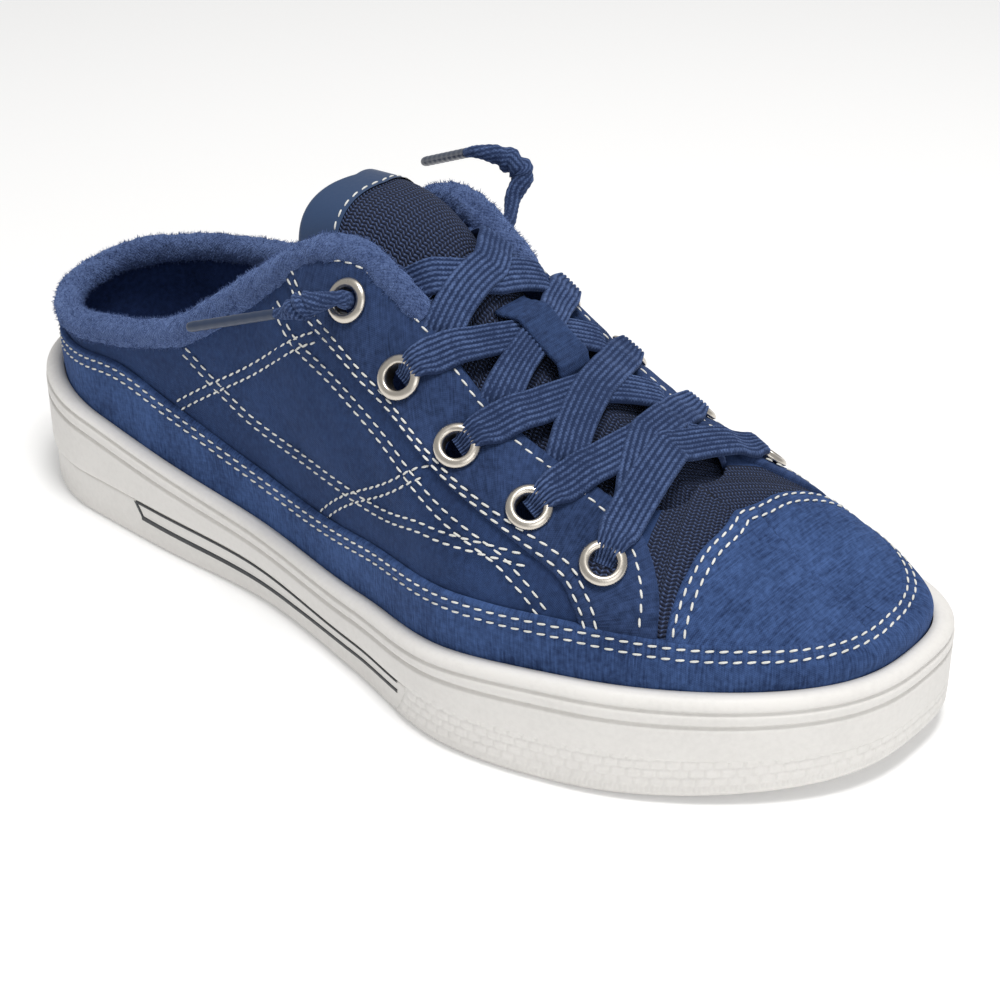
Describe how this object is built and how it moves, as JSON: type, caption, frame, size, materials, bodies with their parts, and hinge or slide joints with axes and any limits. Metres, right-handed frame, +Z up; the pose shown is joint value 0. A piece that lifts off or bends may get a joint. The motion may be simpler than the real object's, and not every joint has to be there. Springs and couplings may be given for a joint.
{
  "type": "slip-on sneaker",
  "caption": "Backless canvas slip-on sneaker for the right foot, with a fleece collar, knit tongue, laced facing and a rubber cupsole",
  "frame": {"origin": "middle of the sole's bounding box at the floor", "axes": "+X towards the toe, +Y towards the inner side of the foot, +Z up"},
  "size_m": [0.275, 0.1037, 0.1131],
  "materials": {
    "sole_rubber": "matte off-white moulded rubber",
    "canvas": "blue canvas with a slub weave",
    "fleece": "blue curly fleece",
    "lining": "dark blue soft lining",
    "knit": "navy knit mesh with lighter threads",
    "binding": "smooth dark blue binding",
    "lace": "flat ribbed elastic lace",
    "aglet": "smooth wrapped tip",
    "eyelet_metal": "satin pale nickel"
  },
  "bodies": {
    "root": {"outsole": "sole_rubber", "midsole": "sole_rubber", "toe_bumper": "sole_rubber", "insole": "lining", "upper": "canvas", "foxing_band": "canvas", "toe_cap": "canvas", "eyestay_lateral": "canvas", "eyestay_medial": "canvas", "collar_roll": "fleece", "tongue": "knit", "tongue_binding": "binding", "lace_keeper": "lace", "eyelet_lateral_1": "eyelet_metal", "eyelet_lateral_2": "eyelet_metal", "eyelet_lateral_3": "eyelet_metal", "eyelet_lateral_4": "eyelet_metal", "eyelet_lateral_5": "eyelet_metal", "eyelet_medial_1": "eyelet_metal", "eyelet_medial_2": "eyelet_metal", "eyelet_medial_3": "eyelet_metal", "eyelet_medial_4": "eyelet_metal", "eyelet_medial_5": "eyelet_metal", "lace_crossings": "lace", "lace_end_lateral": "lace", "lace_end_medial": "lace", "aglet_lateral": "aglet", "aglet_medial": "aglet"}
  },
  "joints": []
}
